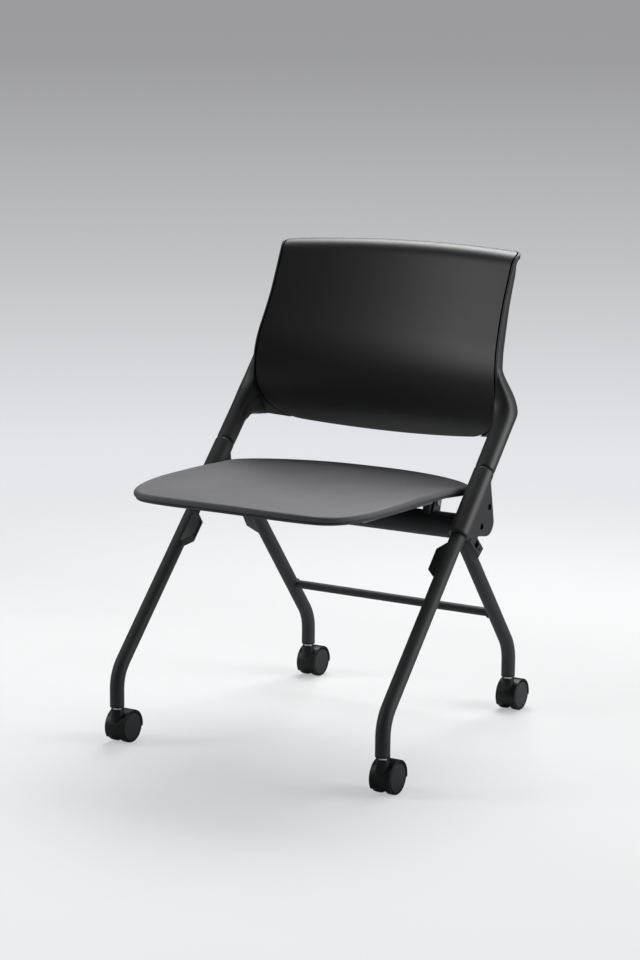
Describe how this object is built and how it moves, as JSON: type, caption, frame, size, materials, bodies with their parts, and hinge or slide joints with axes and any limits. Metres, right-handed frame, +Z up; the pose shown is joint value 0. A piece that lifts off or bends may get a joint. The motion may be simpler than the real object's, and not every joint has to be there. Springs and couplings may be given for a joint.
{
  "type": "conference chair",
  "caption": "Armless conference chair with a tip-up moulded seat, a shell back with a rolled top edge, crossed tube legs and four swivel castors.",
  "frame": {"origin": "on the floor, under the middle of the chair's overall length and width", "axes": "+Z up, -Y is the way a sitter faces, +X is to the right of someone who looks at the chair from its front"},
  "size_m": [0.567, 0.6601, 0.8411],
  "materials": {
    "frame_metal": "satin black powder coat",
    "frame_plastic": "matt black, finely grained moulding",
    "back_plastic": "matt black, finely grained moulding",
    "seat_plastic": "matt dark grey, finely grained moulding",
    "under_plastic": "matt black moulding",
    "bumper_plastic": "matt black moulding",
    "screw_metal": "black screws",
    "bright_steel": "zinc plated steel",
    "carrier_metal": "light grey satin paint",
    "rubber": "black rubber",
    "castor_plastic": "black moulding",
    "wheel_plastic": "dark grey hard nylon",
    "socket_plastic": "black moulding"
  },
  "bodies": {
    "chair": {"front_leg_left": "frame_metal", "front_leg_right": "frame_metal", "rear_leg_left": "frame_metal", "rear_leg_right": "frame_metal", "rear_crossbar": "frame_metal", "seat_beam": "frame_metal", "mount_plate_left": "frame_metal", "mount_plate_right": "frame_metal", "hub_left": "frame_plastic", "hub_right": "frame_plastic", "hub_screws": "screw_metal", "front_bumper_left": "bumper_plastic", "front_bumper_right": "bumper_plastic", "rear_bumper_left": "bumper_plastic", "rear_bumper_right": "bumper_plastic", "bumper_screws": "screw_metal", "socket_fl": "socket_plastic", "socket_fr": "socket_plastic", "socket_rl": "socket_plastic", "socket_rr": "socket_plastic", "back_frame": "frame_plastic", "back_panel": "back_plastic", "back_screws": "screw_metal", "arm_screws": "screw_metal", "hinge_ears_left": "frame_metal", "hinge_ears_right": "frame_metal", "hinge_pin_left": "bright_steel", "hinge_pin_right": "bright_steel"},
    "seat": {"seat_shell": "seat_plastic", "seat_under_shell": "under_plastic", "carrier_left": "carrier_metal", "carrier_right": "carrier_metal", "seat_screws": "screw_metal", "stop_pads": "rubber"},
    "castor_fl": {"hood_fl": "castor_plastic", "stem_fl": "bright_steel", "axle_fl": "bright_steel"},
    "roller_fl_left": {"wheel_fl_left": "wheel_plastic"},
    "roller_fl_right": {"wheel_fl_right": "wheel_plastic"},
    "castor_fr": {"hood_fr": "castor_plastic", "stem_fr": "bright_steel", "axle_fr": "bright_steel"},
    "roller_fr_left": {"wheel_fr_left": "wheel_plastic"},
    "roller_fr_right": {"wheel_fr_right": "wheel_plastic"},
    "castor_rl": {"hood_rl": "castor_plastic", "stem_rl": "bright_steel", "axle_rl": "bright_steel"},
    "roller_rl_left": {"wheel_rl_left": "wheel_plastic"},
    "roller_rl_right": {"wheel_rl_right": "wheel_plastic"},
    "castor_rr": {"hood_rr": "castor_plastic", "stem_rr": "bright_steel", "axle_rr": "bright_steel"},
    "roller_rr_left": {"wheel_rr_left": "wheel_plastic"},
    "roller_rr_right": {"wheel_rr_right": "wheel_plastic"}
  },
  "joints": [
    {"name": "seat_tip", "type": "hinge", "parent": "chair", "child": "seat", "pos_m": [0, 0.08379, 0.418], "axis": [-1, 0, 0], "range_deg": [0, 82]},
    {"name": "swivel_fl", "type": "hinge", "parent": "chair", "child": "castor_fl", "pos_m": [-0.2645, -0.265, 0.062], "axis": [0, 0, 1], "continuous": true},
    {"name": "roll_fl_left", "type": "hinge", "parent": "castor_fl", "child": "roller_fl_left", "pos_m": [-0.2755, -0.246, 0.028], "axis": [1, 0, 0], "continuous": true},
    {"name": "roll_fl_right", "type": "hinge", "parent": "castor_fl", "child": "roller_fl_right", "pos_m": [-0.2535, -0.246, 0.028], "axis": [1, 0, 0], "continuous": true},
    {"name": "swivel_fr", "type": "hinge", "parent": "chair", "child": "castor_fr", "pos_m": [0.2645, -0.265, 0.062], "axis": [0, 0, 1], "continuous": true},
    {"name": "roll_fr_left", "type": "hinge", "parent": "castor_fr", "child": "roller_fr_left", "pos_m": [0.2535, -0.246, 0.028], "axis": [1, 0, 0], "continuous": true},
    {"name": "roll_fr_right", "type": "hinge", "parent": "castor_fr", "child": "roller_fr_right", "pos_m": [0.2755, -0.246, 0.028], "axis": [1, 0, 0], "continuous": true},
    {"name": "swivel_rl", "type": "hinge", "parent": "chair", "child": "castor_rl", "pos_m": [-0.2135, 0.281, 0.062], "axis": [0, 0, 1], "continuous": true},
    {"name": "roll_rl_left", "type": "hinge", "parent": "castor_rl", "child": "roller_rl_left", "pos_m": [-0.2245, 0.3, 0.028], "axis": [1, 0, 0], "continuous": true},
    {"name": "roll_rl_right", "type": "hinge", "parent": "castor_rl", "child": "roller_rl_right", "pos_m": [-0.2025, 0.3, 0.028], "axis": [1, 0, 0], "continuous": true},
    {"name": "swivel_rr", "type": "hinge", "parent": "chair", "child": "castor_rr", "pos_m": [0.2135, 0.281, 0.062], "axis": [0, 0, 1], "continuous": true},
    {"name": "roll_rr_left", "type": "hinge", "parent": "castor_rr", "child": "roller_rr_left", "pos_m": [0.2025, 0.3, 0.028], "axis": [1, 0, 0], "continuous": true},
    {"name": "roll_rr_right", "type": "hinge", "parent": "castor_rr", "child": "roller_rr_right", "pos_m": [0.2245, 0.3, 0.028], "axis": [1, 0, 0], "continuous": true}
  ]
}
